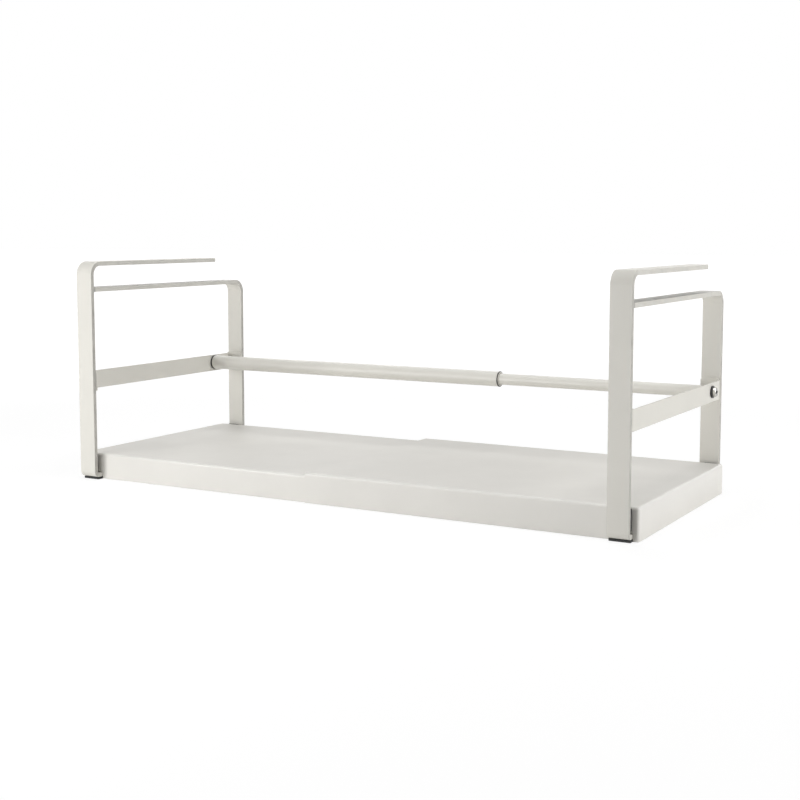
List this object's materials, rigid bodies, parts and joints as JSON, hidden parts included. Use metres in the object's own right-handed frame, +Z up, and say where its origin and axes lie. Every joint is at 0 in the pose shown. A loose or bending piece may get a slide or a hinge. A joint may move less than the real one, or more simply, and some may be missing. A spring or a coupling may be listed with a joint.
{
  "type": "extendable under-shelf rack",
  "caption": "Under-shelf rack: flat-bar side frames hook over a shelf board and carry a two-part sliding sheet tray, with a telescopic rail behind.",
  "frame": {"origin": "middle of the footprint, at the height that the feet stand on, with the rack at the width shown", "axes": "+X along the rack towards the half that slides, +Y from the front posts to the back posts, +Z up"},
  "size_m": [0.6216, 0.266, 0.23],
  "materials": {
    "frame_paint": "warm off-white powder coat, satin",
    "tray_paint": "warm off-white powder coat on folded sheet, satin",
    "collar_plastic": "dark grey moulded nylon",
    "glide_nylon": "white low-friction nylon",
    "black_plastic": "black moulded nylon",
    "black_rubber": "matt black rubber",
    "bright_steel": "bright nickel plate",
    "zinc_plate": "dull zinc plate"
  },
  "bodies": {
    "left_half": {"left_frame": "frame_paint", "left_strap": "frame_paint", "left_tray": "tray_paint", "left_glide": "glide_nylon", "left_bracket": "zinc_plate", "left_front_spacer": "black_rubber", "left_rear_spacer": "black_rubber", "left_front_pad": "black_rubber", "left_rear_pad": "black_rubber", "left_front_tray_screw": "bright_steel", "left_rear_tray_screw": "bright_steel", "left_front_tray_nut": "zinc_plate", "left_rear_tray_nut": "zinc_plate", "left_tube_seat": "black_plastic", "left_tube_insert": "zinc_plate", "left_rail_washer": "black_plastic", "left_rail_screw": "bright_steel", "outer_tube": "frame_paint", "tube_collar": "collar_plastic"},
    "right_half": {"right_frame": "frame_paint", "right_strap": "frame_paint", "right_tray": "tray_paint", "right_glide": "glide_nylon", "right_bracket": "zinc_plate", "right_front_spacer": "black_rubber", "right_rear_spacer": "black_rubber", "right_front_pad": "black_rubber", "right_rear_pad": "black_rubber", "right_front_tray_screw": "bright_steel", "right_rear_tray_screw": "bright_steel", "right_front_tray_nut": "zinc_plate", "right_rear_tray_nut": "zinc_plate", "right_tube_seat": "black_plastic", "right_tube_insert": "zinc_plate", "right_rail_washer": "black_plastic", "right_rail_screw": "bright_steel", "inner_tube": "frame_paint", "tube_glide_plug": "collar_plastic"}
  },
  "joints": [
    {"name": "width_slide", "type": "slide", "parent": "left_half", "child": "right_half", "axis": [1, 0, 0], "range_m": [-0.2, 0.07]}
  ]
}
